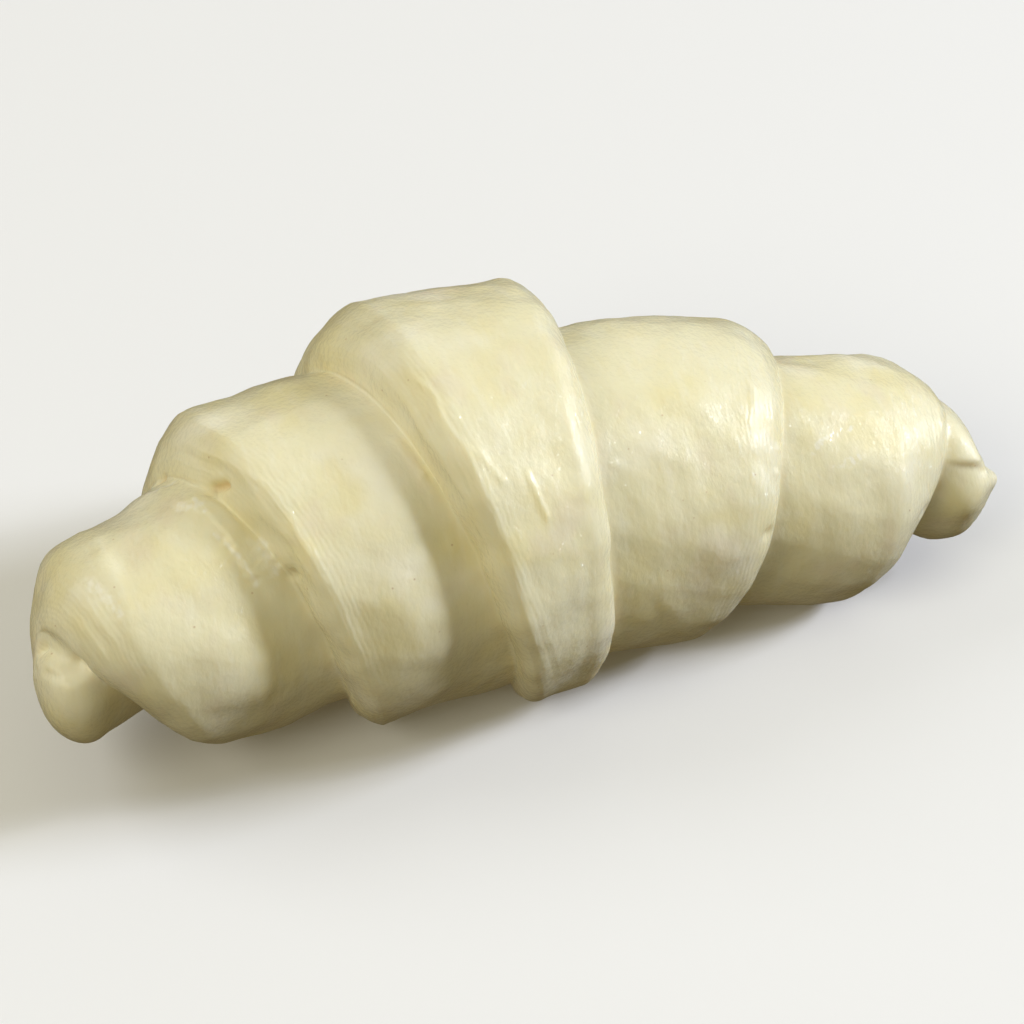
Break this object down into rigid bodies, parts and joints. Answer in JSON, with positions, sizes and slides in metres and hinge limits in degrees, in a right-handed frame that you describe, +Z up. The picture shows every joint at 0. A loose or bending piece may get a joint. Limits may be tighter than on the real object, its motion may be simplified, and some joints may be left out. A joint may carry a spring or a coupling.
{
  "type": "unbaked croissant",
  "caption": "Raw croissant of rolled laminated dough, with stepped turns that taper to a small knob at each end, ready for the oven.",
  "frame": {"origin": "middle of the underside of the bounding box, on the surface the dough rests on", "axes": "+X along the roll, +Y to its back, away from the side with the flap's tip, +Z up"},
  "size_m": [0.1318, 0.055, 0.0506],
  "materials": {
    "dough": "moist satin, pale cream yellow"
  },
  "bodies": {
    "root": {"dough": "dough"}
  },
  "joints": []
}
